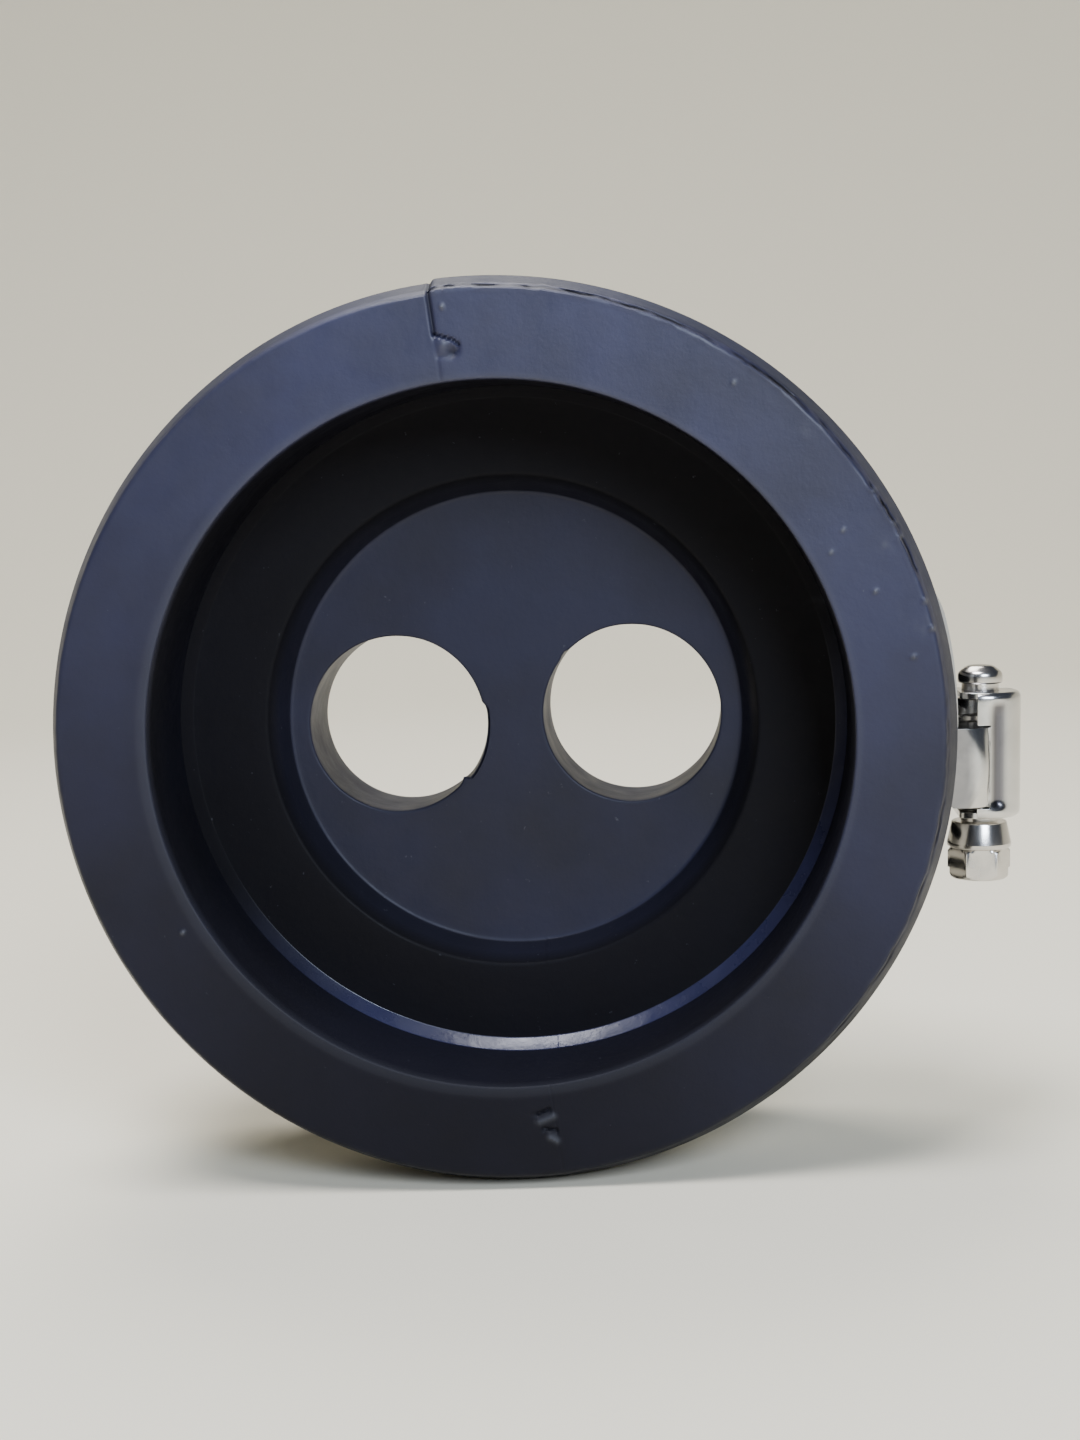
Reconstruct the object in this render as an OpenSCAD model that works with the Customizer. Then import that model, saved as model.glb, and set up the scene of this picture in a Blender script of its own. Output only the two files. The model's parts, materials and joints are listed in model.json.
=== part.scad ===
// Twin-port rubber pipe end seal with its worm-drive band clamp.
// The socket slips over a casing pipe, and two service pipes leave through the
// ports. Origin: middle of the socket mouth. +Y runs into the seal, +Z is up.

/* [Seal body] */
// Outside diameter of the rubber body
body_d = 129; // [113:1:170]
// Depth of the body from the front rim to the rear face
body_depth = 43; // [35:1:70]
// Width of the slope around the edge of the front rim
rim_slope_w = 2.4; // [1:0.1:3]
// Depth of the slope around the edge of the front rim
rim_slope_depth = 5; // [3:0.5:6]
// Bevel around the edge of the rear face
rear_bevel = 2; // [0.5:0.5:4]

/* [Casing socket] */
// Diameter of the socket for the casing pipe
socket_d = 100; // [83:1:112]
// Depth of the socket down to its ledge
socket_depth = 22; // [18:0.5:28]
// Fillet at the foot of the socket wall
socket_fillet = 2; // [1:0.5:4]
// Diameter of the recess in the socket floor, at its mouth
recess_d = 74; // [72:1:80]
// Depth of the recess
recess_depth = 5.5; // [3:0.5:7]
// Width of the recess's sloping wall
recess_slope_w = 2.4; // [1:0.1:3]

/* [Pipe ports] */
// Diameter of each service pipe port
port_d = 27; // [20:0.5:32]
// Distance between the port centres
port_spacing = 36; // [34:0.5:38]

/* [Clamp seat] */
// Distance from the front rim to the middle of the strap
clamp_depth = 22; // [17:0.5:27]
// Turn of the clamp below the line through the port centres
clamp_angle = 2.35; // [-90:0.05:90]
// Depth of the groove that the clamp lies in
groove_depth = 1; // [0.8:0.1:2]
// Gap between the clamp and each side of the groove
groove_side_gap = 0.4; // [0.3:0.1:1]
// Gap between the clamp and the bottom of the groove
seat_gap = 0.3; // [0.25:0.05:0.4]

/* [Strap] */
// Width of the strap
strap_w = 12.7; // [10:0.1:14.5]
// Thickness of the strap
strap_t = 0.64; // [0.5:0.01:0.8]
// Length of the free tail past the worm
tail_len = 58; // [50:1:80]
// Length of each slot across the strap
slot_len = 8; // [6:0.1:9]
// Width of each slot
slot_w = 1.9; // [1.7:0.05:2]
// Gap between the tail and the strap end under it
slide_gap = 0.1; // [0.05:0.05:0.2]
// Number of slots on the worm's tail side
slots_out = 14; // [12:1:15]
// Number of slots on the worm's loop side
slots_in = 12; // [7:1:16]

/* [Worm screw] */
// Lead of the worm thread, which is also the slot spacing
worm_lead = 3.175; // [3:0.005:3.4]
// Diameter over the thread
worm_d = 8.8; // [8.2:0.1:9.6]
// Depth of the thread
thread_depth = 0.95; // [0.8:0.05:1.1]
// Width of the thread's crest
crest_w = 0.7; // [0.5:0.05:0.8]
// Gap between the crest and the strap end under the tail
crest_gap = 0.2; // [0.15:0.05:0.3]
// Width across the flats of the hex head
hex_af = 7.94; // [7:0.01:8.2]
// Length of the hex head
hex_len = 4.7; // [4:0.1:8]
// Largest diameter of the collar next to the hex head
collar_d = 9.4; // [8.6:0.1:9.8]
// Length of the collar
collar_len = 3.9; // [3:0.1:5]
// Diameter of the journals at both ends of the thread
journal_d = 5.4; // [4.6:0.1:6.4]
// Diameter of the domed tip
tip_d = 6.5; // [6.4:0.1:7.5]
// Length of the domed tip
tip_len = 2.7; // [2:0.1:4]
// Width of the driver slot across the hex head
driver_slot_w = 1.2; // [0.8:0.1:1.6]
// Depth of the driver slot
driver_slot_depth = 1.6; // [1:0.1:2.5]

/* [Screw housing] */
// Thickness of the housing's sheet
housing_t = 0.8; // [0.6:0.05:1]
// Length of the housing along the worm
housing_len = 18.5; // [17.5:0.1:22]
// Distance from the worm's lowest point to the housing's tip end
housing_back = 4.4; // [4.2:0.1:5]
// Gap between the thread and the housing
arch_gap = 0.7; // [0.4:0.05:1]
// Gap between the strap's edges and the housing legs
leg_gap = 0.2; // [0.15:0.05:0.4]
// Length of each housing leg along the worm
leg_len = 11.6; // [10:0.1:12]
// Distance from the worm's lowest point to the legs' near end
leg_start = 0.6; // [0.4:0.1:1.5]
// Gap between a journal and its hole in the housing
journal_gap = 0.05; // [0.02:0.01:0.08]
// Thickness of the saddle plate under the strap end
saddle_t = 0.5; // [0.4:0.05:0.6]
// Length of the saddle plate
saddle_len = 13; // [12:0.1:16]

/* [Hidden] */

$fn = 180;
cut = 1;                    // overshoot of every cutting shape
body_r = body_d / 2;
socket_r = socket_d / 2;
recess_r = recess_d / 2;
floor_depth = socket_depth + recess_depth;

// Layers of the clamp, from the groove outwards
stack_gap = 0.02;           // between parts that are pressed together
groove_r = body_r - groove_depth;
saddle_in_r = groove_r + seat_gap;
saddle_out_r = saddle_in_r + saddle_t;
anchor_in_r = saddle_out_r + stack_gap;
anchor_out_r = anchor_in_r + strap_t;
tail_in_r = anchor_out_r + slide_gap;
tail_out_r = tail_in_r + strap_t;
loop_in_r = saddle_in_r;
worm_r = worm_d / 2;
root_r = worm_r - thread_depth;
screw_r = anchor_out_r + crest_gap + worm_r;

// Across the strap
leg_in = strap_w / 2 + leg_gap;
leg_out = leg_in + housing_t;
groove_w = 2 * (leg_out + groove_side_gap);

// Round the strap, in degrees from the worm's lowest point towards the screw head
function arc_deg(len, r) = len / r * 180 / PI;
pitch_r = (tail_in_r + tail_out_r) / 2;
slot_step = arc_deg(worm_lead, pitch_r);
slot_lean = atan(worm_lead / (2 * PI * worm_r));
tighten_turns = 3;          // travel of the screw from rest, each way
loosen_turns = 6;
end_gap = 1.5;              // free length left at both ends of the travel
anchor_past = 1.5;          // length of the strap end beyond the legs
anchor_start = leg_start;
anchor_len = leg_len + anchor_past;
anchor_end_deg = arc_deg(anchor_start + anchor_len, anchor_in_r);
loop_start_deg = anchor_end_deg + slot_step * loosen_turns + arc_deg(end_gap, loop_in_r);
ramp_len = 9;
ramp_end_deg = 360 - arc_deg(housing_back + end_gap, tail_in_r) - slot_step * tighten_turns;
ramp_start_deg = ramp_end_deg - arc_deg(ramp_len, loop_in_r);
tail_end_deg = 360 + arc_deg(tail_len, tail_in_r);
strap_step = 2;             // degrees between the strap's outline points
slot_over = 0.1;            // overshoot of the slot cutters, inside the next layer's gap

// Along the worm
wall_t = 0.9;               // end walls of the housing
wall_gap = 0.5;             // between the end walls and the tail
end_play = 0.2;             // between the thread and the end walls
collar_gap = 0.9;           // between the housing and the collar
tip_gap = 1.1;              // between the housing and the tip
housing_end = housing_len - housing_back;
thread_start = -housing_back + wall_t + end_play;
thread_end = housing_end - wall_t - end_play;
collar_start = housing_end + collar_gap;
hex_start = collar_start + collar_len;
screw_end = hex_start + hex_len;
tip_start = -housing_back - tip_gap;

// Thread
thread_steps = 28;          // rings in each turn
fade_rings = 7;             // rings over which each end of the thread fades away
sink = 0.25;                // depth of the thread's root inside the core
flank_slope = 0.45;         // sideways run of each flank over its depth
flank_w = crest_w + 2 * thread_depth * flank_slope;
first_ring = ceil((thread_start + flank_w / 2) / worm_lead * thread_steps);
last_ring = floor((thread_end - flank_w / 2) / worm_lead * thread_steps);

// Screw ends
dome_share = 0.7;           // domed share of the tip's length
collar_taper = 0.86;        // small end of the collar over its large end

// Housing section, measured from the screw's axis
arch_r = worm_r + arch_gap + housing_t;
arch_low = -1.2;            // lower edge of the arch, beyond the legs
foot_gap = 0.1;             // between the legs and the groove
leg_low = -(screw_r - groove_r) + foot_gap;
shoulder_low = 0;           // where the legs start to lean in
shoulder_high = 2.4;        // where they run into the arch
shoulder_sink = 0.3;        // how far they run into it
cutter = 4 * arch_r;        // side of the cutting squares

// Turns the working axis to run from the front rim into the seal
module along_seal() {
  rotate([-90, 0, 0])
    children();
}

// Clamp frame: x outwards through the worm's lowest point, y along the worm
// towards its head, z across the strap away from the front rim
module at_clamp() {
  along_seal()
    translate([0, 0, clamp_depth])
      rotate([0, 0, clamp_angle])
        children();
}

// Screw frame: z along the worm towards its head
module at_screw(start) {
  at_clamp()
    translate([screw_r, start, 0])
      rotate([-90, 0, 0])
        children();
}

// Arc of flat strip, measured round the seal's axis
module strip_arc(in_r, thickness, width, from_deg, to_deg) {
  rotate([0, 0, from_deg])
    rotate_extrude(angle = to_deg - from_deg)
      translate([in_r, -width / 2])
        square([thickness, width]);
}

// Half of the body's outline: x from the axis, y from the front rim
module body_outline() {
  polygon([
    [0, 0],
    [body_r - rim_slope_w, 0],
    [body_r, rim_slope_depth],
    [body_r, body_depth - rear_bevel],
    [body_r - rear_bevel, body_depth],
    [0, body_depth]
  ]);
}

module socket_outline() {
  difference() {
    translate([0, -cut])
      square([socket_r, socket_depth + cut]);
    translate([socket_r - socket_fillet, socket_depth - socket_fillet])
      difference() {
        square(socket_fillet + cut);
        circle(r = socket_fillet, $fn = 64);
      }
  }
  polygon([
    [0, socket_depth - cut],
    [recess_r, socket_depth - cut],
    [recess_r, socket_depth],
    [recess_r - recess_slope_w, floor_depth],
    [0, floor_depth]
  ]);
}

module groove_outline() {
  translate([groove_r, clamp_depth - groove_w / 2])
    square([groove_depth + cut, groove_w]);
}

module seal_body() {
  color("#33343f")
    along_seal()
      difference() {
        rotate_extrude()
          difference() {
            body_outline();
            socket_outline();
            groove_outline();
          }
        for (side = [-1, 1])
          translate([side * port_spacing / 2, 0, floor_depth - cut])
            cylinder(d = port_d, h = body_depth - floor_depth + 2 * cut);
      }
}

// Inner radius of the strap along its length
function ramp_share(a) = min(1, max(0, (a - ramp_start_deg) / (ramp_end_deg - ramp_start_deg)));
function strap_r(a) = loop_in_r + (tail_in_r - loop_in_r) * (1 - cos(180 * ramp_share(a))) / 2;
function strap_point(a, lift) = [(strap_r(a) + lift) * cos(a), (strap_r(a) + lift) * sin(a)];

module strap_strip() {
  steps = ceil((tail_end_deg - loop_start_deg) / strap_step);
  angles = [for (i = [0:steps]) loop_start_deg + (tail_end_deg - loop_start_deg) * i / steps];
  inner = [for (a = angles) strap_point(a, 0)];
  outer = [for (i = [steps:-1:0]) strap_point(angles[i], strap_t)];
  linear_extrude(height = strap_w, center = true)
    polygon(concat(inner, outer));
}

module strap_slot() {
  slot_x = (tail_in_r + tail_out_r) / 2;
  translate([slot_x, 0, 0])
    rotate([-slot_lean, 0, 0])
      cube([strap_t + 2 * slot_over, slot_w, slot_len], center = true);
}

module clamp_strap() {
  color("#b9bcc2")
    at_clamp()
      difference() {
        strap_strip();
        for (i = [-slots_in:slots_out])
          rotate([0, 0, i * slot_step])
            translate([strap_r(360 + i * slot_step) - tail_in_r, 0, 0])
              strap_slot();
      }
}

module strap_anchor_end() {
  color("#aeb1b8")
    at_clamp()
      strip_arc(anchor_in_r, strap_t, strap_w,
                arc_deg(anchor_start, anchor_in_r), anchor_end_deg);
}

module clamp_saddle() {
  middle = arc_deg(leg_start + leg_len / 2, saddle_in_r);
  reach = arc_deg(saddle_len / 2, saddle_in_r);
  color("#a4a7ae")
    at_clamp()
      strip_arc(saddle_in_r, saddle_t, 2 * leg_out, middle - reach, middle + reach);
}

// Housing's cross-section: x outwards from the screw's axis, y across the strap
module housing_section(inset) {
  section_r = arch_r - inset;
  half_w = leg_out - inset;
  shoulder_w = sqrt(pow(section_r, 2) - pow(shoulder_high, 2)) - shoulder_sink;
  circle(r = section_r);
  polygon([
    [leg_low - foot_gap, -half_w],
    [shoulder_low, -half_w],
    [shoulder_high, -shoulder_w],
    [shoulder_high, shoulder_w],
    [shoulder_low, half_w],
    [leg_low - foot_gap, half_w]
  ]);
}

// Takes away everything below a height
module below(height) {
  translate([height - cutter, -cutter / 2])
    square(cutter);
}

module housing_sheet(low_side) {
  difference() {
    housing_section(0);
    housing_section(housing_t);
    below(low_side);
  }
}

module housing_wall() {
  difference() {
    housing_section(housing_t / 2);
    below(wall_gap - (screw_r - tail_out_r));
    circle(d = journal_d + 2 * journal_gap);
  }
}

module screw_housing() {
  color("#c6c8cc")
    difference() {
      union() {
        at_screw(-housing_back)
          linear_extrude(height = housing_len)
            housing_sheet(arch_low);
        at_screw(leg_start)
          linear_extrude(height = leg_len)
            housing_sheet(leg_low);
        at_screw(-housing_back)
          linear_extrude(height = wall_t)
            housing_wall();
        at_screw(housing_end - wall_t)
          linear_extrude(height = wall_t)
            housing_wall();
      }
      at_clamp()
        cylinder(r = saddle_out_r + stack_gap, h = cutter, center = true);
    }
}

// One ring of the thread's cross-section, which sinks into the core at both ends
function thread_ring(i) =
  let (turn = 180 + 360 * i / thread_steps,
       along = worm_lead * i / thread_steps,
       fade = min(1, (i - first_ring) / fade_rings, (last_ring - i) / fade_rings),
       crest_r = root_r - sink / 2 + (thread_depth + sink / 2) * fade)
  [for (p = [[root_r - sink, -flank_w / 2], [crest_r, -crest_w / 2],
             [crest_r, crest_w / 2], [root_r - sink, flank_w / 2]])
    [p[0] * cos(turn), p[0] * sin(turn), along + p[1]]];

// Right-hand thread whose crest passes the point nearest the seal at z = 0
module worm_thread() {
  points = [for (i = [first_ring:last_ring]) each thread_ring(i)];
  end = 4 * (last_ring - first_ring);
  sides = [for (i = [0:4:end - 4])
    for (k = [0:3])
      let (a = i + k, b = i + (k + 1) % 4)
      each [[a, b, b + 4], [a, b + 4, a + 4]]];
  caps = [[2, 1, 0], [3, 2, 0], [end, end + 1, end + 2], [end, end + 2, end + 3]];
  polyhedron(points = points, faces = concat(sides, caps), convexity = 6);
}

module domed_tip() {
  dome_h = tip_len * dome_share;
  ball_r = (pow(tip_d / 2, 2) + pow(dome_h, 2)) / (2 * dome_h);
  translate([0, 0, -tip_len + dome_h])
    cylinder(d = tip_d, h = tip_len - dome_h);
  intersection() {
    translate([0, 0, -tip_len + ball_r])
      sphere(r = ball_r);
    translate([0, 0, -tip_len])
      cylinder(d = tip_d, h = dome_h);
  }
}

module screw_head() {
  difference() {
    union() {
      translate([0, 0, collar_start])
        cylinder(d1 = collar_d * collar_taper, d2 = collar_d, h = collar_len);
      translate([0, 0, hex_start])
        cylinder(d = hex_af / cos(30), h = hex_len, $fn = 6);
    }
    translate([-hex_af, -driver_slot_w / 2, screw_end - driver_slot_depth])
      cube([2 * hex_af, driver_slot_w, driver_slot_depth + cut]);
  }
}

module worm_screw() {
  $fn = 48;
  color("#d2d0cb")
    at_screw(0) {
      translate([0, 0, tip_start])
        domed_tip();
      translate([0, 0, tip_start])
        cylinder(d = journal_d, h = collar_start - tip_start);
      translate([0, 0, thread_start])
        cylinder(r = root_r, h = thread_end - thread_start);
      worm_thread();
      screw_head();
    }
}

seal_body();
clamp_strap();
strap_anchor_end();
clamp_saddle();
screw_housing();
worm_screw();
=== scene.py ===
import json
import math

import bmesh
import bpy
import numpy as np
from mathutils import Matrix, Vector, noise


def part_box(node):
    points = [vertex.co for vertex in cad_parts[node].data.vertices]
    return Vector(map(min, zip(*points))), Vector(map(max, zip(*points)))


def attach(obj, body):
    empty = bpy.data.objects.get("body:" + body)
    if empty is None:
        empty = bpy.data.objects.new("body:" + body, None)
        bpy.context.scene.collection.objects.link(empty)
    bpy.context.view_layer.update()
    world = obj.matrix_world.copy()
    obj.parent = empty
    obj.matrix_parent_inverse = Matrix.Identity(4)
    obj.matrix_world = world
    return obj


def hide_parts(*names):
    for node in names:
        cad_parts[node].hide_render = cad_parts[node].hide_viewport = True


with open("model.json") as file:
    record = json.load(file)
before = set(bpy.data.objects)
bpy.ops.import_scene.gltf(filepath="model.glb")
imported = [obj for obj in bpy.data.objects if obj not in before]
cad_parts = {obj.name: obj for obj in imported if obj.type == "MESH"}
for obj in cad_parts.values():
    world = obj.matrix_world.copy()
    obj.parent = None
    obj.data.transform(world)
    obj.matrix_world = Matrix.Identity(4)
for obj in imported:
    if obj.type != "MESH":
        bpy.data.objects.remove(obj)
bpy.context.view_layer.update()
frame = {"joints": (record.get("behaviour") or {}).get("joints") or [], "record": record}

# ----------------------------------------------------------------------
# Viewpoint. The seal is seen from in front of its mouth, a little from the right and
# above, with the camera rolled a few degrees.
mounts = {m["name"]: m for m in frame["record"]["mounts"]}
mm = 0.001
eye = Vector((0.0317, -0.2992, 0.0334))
look_at = Vector((0.0063, 0.0, 0.0024))
camera_roll = math.radians(3.19)

forward = (look_at - eye).normalized()
level_right = forward.cross(Vector((0, 0, 1))).normalized()
level_up = level_right.cross(forward)
right = level_right * math.cos(camera_roll) - level_up * math.sin(camera_roll)
up = level_up * math.cos(camera_roll) + level_right * math.sin(camera_roll)


def link_object(name, data):
    """A new object in the scene for this camera, light or mesh."""
    made = bpy.data.objects.new(name, data)
    bpy.context.scene.collection.objects.link(made)
    return made


camera_data = bpy.data.cameras.new("camera")
camera_data.lens = 54
camera = link_object("camera", camera_data)
camera.matrix_world = Matrix.Translation(eye) @ Matrix((right, up, -forward)).transposed().to_4x4()
bpy.context.scene.camera = camera


# ----------------------------------------------------------------------
# Studio. A pale paper sweep: a flat floor that curves up into the background, under a
# cool soft light in front of the seal, a paler one above it and one over the background.
def add_node(tree, kind, name=None, **values):
    """Adds a shader node; a value is set on the input of that name, or on a property."""
    made = tree.nodes.new(kind)
    if name:
        made.name = name
    for key, value in values.items():
        label = key.replace("_", " ")
        if label in made.inputs:
            made.inputs[label].default_value = value
        else:
            setattr(made, key, value)
    return made


def new_material(name, **shader_values):
    """A material with one Principled shader, and its node tree and shader."""
    material = bpy.data.materials.new(name)
    material.use_nodes = True
    shader = material.node_tree.nodes["Principled BSDF"]
    for key, value in shader_values.items():
        shader.inputs[key.replace("_", " ")].default_value = value
    return material, material.node_tree, shader


def wire(tree, *pairs):
    """Links each pair of sockets, output first."""
    for source, target in pairs:
        tree.links.new(source, target)


def shade(mesh, sharp_deg):
    """Smooth shading, except across edges sharper than sharp_deg."""
    mesh.shade_smooth()
    mesh.set_sharp_from_angle(angle=math.radians(sharp_deg))


body_low, body_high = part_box("seal_body")
body_r = body_high[2]
body_depth = body_high[1]
rim_sag = 0.6 * mm              # room below for the soft rim, which hangs out of round
floor_z = body_low[2] - rim_sag

sweep_flat_r = 0.75
sweep_curve_r = 0.8
sweep_steps = 24
sweep_sides = 96
sweep_outline = [(0.0, 0.0), (sweep_flat_r, 0.0)]
for i in range(1, sweep_steps + 1):
    turn = i / sweep_steps * math.pi / 2
    sweep_outline.append((sweep_flat_r + sweep_curve_r * math.sin(turn),
                          sweep_curve_r * (1 - math.cos(turn))))
sweep_verts = [(0, 0, floor_z)]
sweep_faces = []
for k, (r, z) in enumerate(sweep_outline[1:]):
    for i in range(sweep_sides):
        a = 2 * math.pi * i / sweep_sides
        rise = min(1, max(0, (math.sin(a) + 0.1) / 0.5))
        sweep_verts.append((r * math.cos(a), r * math.sin(a), floor_z + z * rise))
        j = (i + 1) % sweep_sides
        if k == 0:
            sweep_faces.append((0, 1 + i, 1 + j))
        else:
            low, high = 1 + (k - 1) * sweep_sides, 1 + k * sweep_sides
            sweep_faces.append((low + i, high + i, high + j, low + j))
sweep_mesh = bpy.data.meshes.new("sweep")
sweep_mesh.from_pydata(sweep_verts, [], sweep_faces)
sweep_paper, _, _ = new_material("sweep_paper", Base_Color=(0.86, 0.80, 0.64, 1), Roughness=0.9)
sweep_mesh.materials.append(sweep_paper)
shade(sweep_mesh, 35)
link_object("sweep", sweep_mesh)


def soft_light(name, place, aim, size, power, colour):
    """A square area light at place, facing aim."""
    data = bpy.data.lights.new(name, "AREA")
    data.size = size
    data.energy = power
    data.color = colour
    made = link_object(name, data)
    made.location = place
    made.rotation_euler = (Vector(aim) - Vector(place)).to_track_quat("-Z", "Y").to_euler()


soft_light("window_light", (0.42, -1.0, 0.56), (0, 0, 0), 0.45, 17, (0.74, 0.84, 1.0))
soft_light("ceiling_light", (-0.12, -0.22, 0.9), (0, 0, 0), 0.4, 11, (0.92, 0.93, 1.0))
soft_light("rear_light", (-0.1, 0.55, 0.95), (0, 0.45, 0), 0.6, 9, (1.0, 0.98, 0.94))
world = bpy.data.worlds.new("room")
world.use_nodes = True
room = world.node_tree
room.nodes["Background"].inputs["Color"].default_value = (0.62, 0.74, 1.0, 1)
room.nodes["Background"].inputs["Strength"].default_value = 0.07
backdrop = add_node(room, "ShaderNodeBackground", Color=(0.66, 0.65, 0.61, 1), Strength=0.85)
seen = add_node(room, "ShaderNodeLightPath")
choice = add_node(room, "ShaderNodeMixShader")
wire(room, (seen.outputs["Is Camera Ray"], choice.inputs["Fac"]),
     (room.nodes["Background"].outputs["Background"], choice.inputs[1]),
     (backdrop.outputs["Background"], choice.inputs[2]),
     (choice.outputs["Shader"], room.nodes["World Output"].inputs["Surface"]))
bpy.context.scene.world = world

# ----------------------------------------------------------------------
# Seal body. One piece of black rubber, compression moulded in a split mould: a wide flat
# rim, a deep socket with a stepped floor and two ports. The mould's split leaves a line
# across the rim at the top and the bottom, and its parting ring leaves ragged flash.
socket_r = mounts["casing_socket"]["dims"]["r_mm"] * mm
port_r = mounts["pipe_port_right"]["dims"]["r_mm"] * mm
port_x = mounts["pipe_port_right"]["pos_m"][0]
socket_depth = 22 * mm
floor_depth = body_depth - mounts["pipe_port_right"]["dims"]["length_mm"] * mm
recess_r = 37 * mm
recess_slope_w = 2.4 * mm
foot_w = 1.6 * mm               # flat bevel at the foot of the socket wall
rim_slope_w = 2.4 * mm
rim_slope_depth = 5 * mm
face_r = body_r - rim_slope_w
rear_bevel = 2 * mm
groove_depth = 1 * mm
clamp_depth = mounts["hex_head"]["pos_m"][1]
groove_half_w = 7.75 * mm
split_deg = 95.5                # the mould's split crosses the rim here and half a turn on


def rounded_outline(corners, arc_steps=4):
    """Outline through (radius, depth, rounding) corners, each rounded with an arc."""
    points = []
    for i, (r, y, rounding) in enumerate(corners):
        here = Vector((r, y))
        if rounding == 0 or i in (0, len(corners) - 1):
            points.append(here)
            continue
        before = (Vector(corners[i - 1][:2]) - here).normalized()
        after = (Vector(corners[i + 1][:2]) - here).normalized()
        half = before.angle(after) / 2
        reach = rounding / math.tan(half)
        middle = here + (before + after).normalized() * rounding / math.sin(half)
        start, end = here + before * reach - middle, here + after * reach - middle
        for k in range(arc_steps + 1):
            points.append(middle + start.slerp(end, k / arc_steps).normalized() * rounding)
    return points


def spaced(points, step_at):
    """The same outline with points no further apart than step_at(point) allows."""
    made = [points[0]]
    for a, b in zip(points, points[1:]):
        parts = max(1, math.ceil((b - a).length / step_at((a + b) / 2)))
        made += [a.lerp(b, k / parts) for k in range(1, parts + 1)]
    return made


def body_step(point):
    """Fine rings on the visible rim, coarser ones elsewhere."""
    on_rim = point.y < 0.3 * mm and point.x > socket_r
    on_slope = point.y < rim_slope_depth and point.x > face_r
    return (0.3 if on_rim else 0.5 if on_slope else 2.6) * mm


body_outline = spaced(rounded_outline([
    (recess_r - recess_slope_w - 1.2 * mm, floor_depth, 0),
    (recess_r - recess_slope_w, floor_depth, 0.8 * mm),
    (recess_r, socket_depth, 0.7 * mm),
    (socket_r - foot_w, socket_depth, 0.3 * mm),
    (socket_r, socket_depth - foot_w, 0.3 * mm),
    (socket_r, 0, 0.35 * mm),
    (face_r + 0.25 * mm, 0, 0.8 * mm),
    (body_r - 0.2 * mm, rim_slope_depth, 1.5 * mm),
    (body_r, clamp_depth - groove_half_w, 0.3 * mm),
    (body_r - groove_depth, clamp_depth - groove_half_w, 0.3 * mm),
    (body_r - groove_depth, clamp_depth + groove_half_w, 0.3 * mm),
    (body_r, clamp_depth + groove_half_w, 0.3 * mm),
    (body_r, body_depth - rear_bevel, 0.6 * mm),
    (body_r - rear_bevel, body_depth, 0.6 * mm),
    (recess_r, body_depth, 0),
]), body_step)

# Small marks on the rim, each (radius, angle) in millimetres and degrees, and some with a
# height or a size in millimetres after them
pips = [(52.5, -151.1, 0.32), (58.8, 8.5, 0.34), (56.3, 18.6, 0.26), (60.1, 93.9, 0.22),
        (59.2, 53.3, 0.14), (56.0, 28.3, 0.14), (53.1, 26.4, 0.14)]
curls = [(62.5, 30.6), (62.6, 25.7), (62.6, 23.9), (62.3, 15.2), (62.2, 11.6)]
scuffs = [(60.2, 41.9, 1.0), (60.0, 23.8, 1.0), (61.2, 12.2, 1.2), (49.2, 18.7, 0.8)]
tear = [(56.5, 95.5), (55.9, 94.1), (55.5, 93.1), (54.8, 92.2), (53.9, 92.4), (53.3, 93.4), (53.4, 95.2)]
flap = (54.9, 94.4)             # raised rubber inside the torn hook
# Two nicks, each a line of marks beside another line of raised rubber and its height
nicks = [([(53.5, -87.0), (53.0, -85.2)], [(54.6, -86.8), (54.0, -84.7)], 0.30),
         ([(55.7, -86.3), (56.1, -84.6)], [(57.0, -85.6), (57.6, -84.7)], 0.34)]


def angle_columns():
    """Angles round the body, crowded where the mould's split and the pips need detail."""
    coarse = list(np.arange(-180, 180, 1.0))
    fine = []
    for middle, reach, step in [(split_deg - 1.2, 3.2, 0.08), (split_deg - 180, 2.8, 0.09)]:
        fine += list(np.arange(middle - reach, middle + reach, step))
    for mark in pips + curls:
        fine += list(np.arange(mark[1] - 0.9, mark[1] + 0.9, 0.15))
    least_step = 0.05
    kept = []
    for a in sorted(coarse + fine):
        if not kept or a - kept[-1] > least_step:
            kept.append(a)
    return np.radians(kept)


turns = angle_columns()
radius, turn = np.meshgrid([p.x for p in body_outline], turns)
depth, _ = np.meshgrid([p.y for p in body_outline], turns)
place_deg = np.degrees(turn)


def wave(scale, seed, across=1.0):
    """Smooth noise from -1 to 1 over the body, with features about 1 / scale metres wide."""
    xs, zs = radius * np.cos(turn) * scale, radius * np.sin(turn) * scale
    flat = [noise.noise(Vector((x, seed + y, z)))
            for x, y, z in zip(xs.ravel(), (depth * scale * across).ravel(), zs.ravel())]
    return np.array(flat).reshape(radius.shape)


def ragged(seed, scales=((700, 0.6), (1800, 0.4))):
    """Noise that changes along the rim only, for ragged edges."""
    total = np.zeros(len(turns))
    for scale, share in scales:
        total += share * np.array([noise.noise(Vector((face_r * scale * math.cos(a), seed,
                                                       face_r * scale * math.sin(a)))) for a in turns])
    return total[:, None]


def apart(r_mm, deg):
    """Distance on the rim from a mark, in millimetres."""
    along = np.radians(place_deg - deg) * r_mm
    return np.hypot(along, radius / mm - r_mm)


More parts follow.
